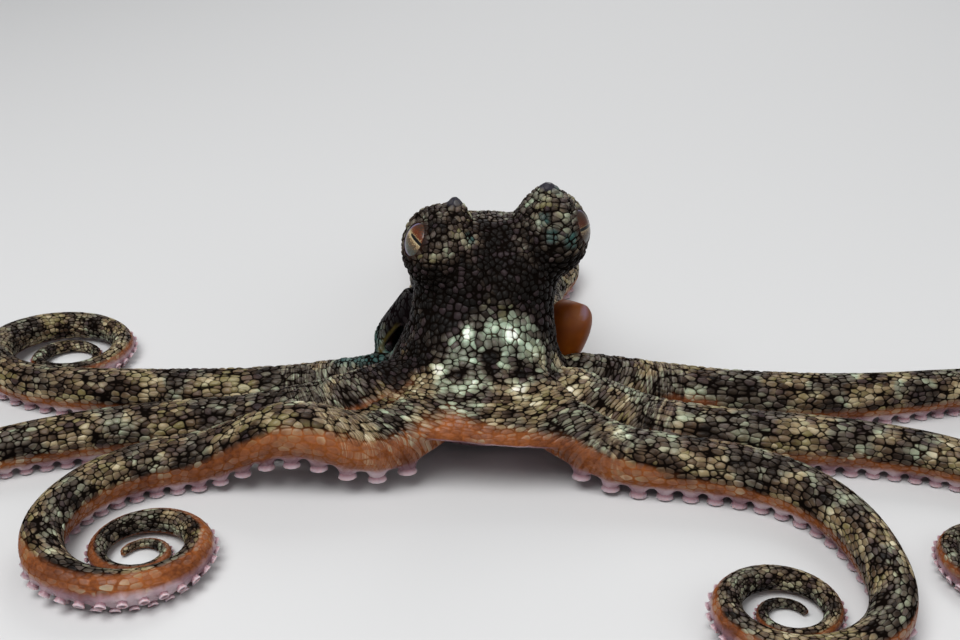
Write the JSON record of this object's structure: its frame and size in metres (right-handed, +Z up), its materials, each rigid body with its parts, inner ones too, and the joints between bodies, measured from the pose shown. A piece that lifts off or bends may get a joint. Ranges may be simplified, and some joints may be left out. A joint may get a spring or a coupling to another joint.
{
  "type": "octopus",
  "caption": "Common octopus resting on the floor, head raised, eyes on two mounds, web stretched between the front arms, arm ends coiled.",
  "frame": {"origin": "middle of the arm crown at floor level, on the flat round the mouth", "axes": "+Z up; the animal faces -Y; +X is its left side"},
  "size_m": [0.3866, 0.2897, 0.0766],
  "materials": {
    "skin": "wet, granular, mottled",
    "arm": "wet, granular, pale suckers below",
    "web": "wet, thin, rust-coloured margin",
    "funnel": "smooth, wet",
    "eye": "glossy wet eye with a dark slit pupil"
  },
  "bodies": {
    "root": {"crown": "skin", "head": "skin", "mantle": "skin", "eye_left": "eye", "eye_right": "eye", "funnel": "funnel", "arm_left_1_base": "arm", "arm_left_1_middle": "arm", "arm_left_1_tip": "arm", "arm_left_2_base": "arm", "arm_left_2_middle": "arm", "arm_left_2_tip": "arm", "arm_left_3_base": "arm", "arm_left_3_middle": "arm", "arm_left_3_tip": "arm", "arm_left_4_base": "arm", "arm_left_4_middle": "arm", "arm_left_4_tip": "arm", "arm_right_4_base": "arm", "arm_right_4_middle": "arm", "arm_right_4_tip": "arm", "arm_right_3_base": "arm", "arm_right_3_middle": "arm", "arm_right_3_tip": "arm", "arm_right_2_base": "arm", "arm_right_2_middle": "arm", "arm_right_2_tip": "arm", "arm_right_1_base": "arm", "arm_right_1_middle": "arm", "arm_right_1_tip": "arm", "web_front": "web", "web_left_12": "web", "web_left_23": "web", "web_left_34": "web", "web_back": "web", "web_right_34": "web", "web_right_23": "web", "web_right_12": "web"}
  },
  "joints": []
}
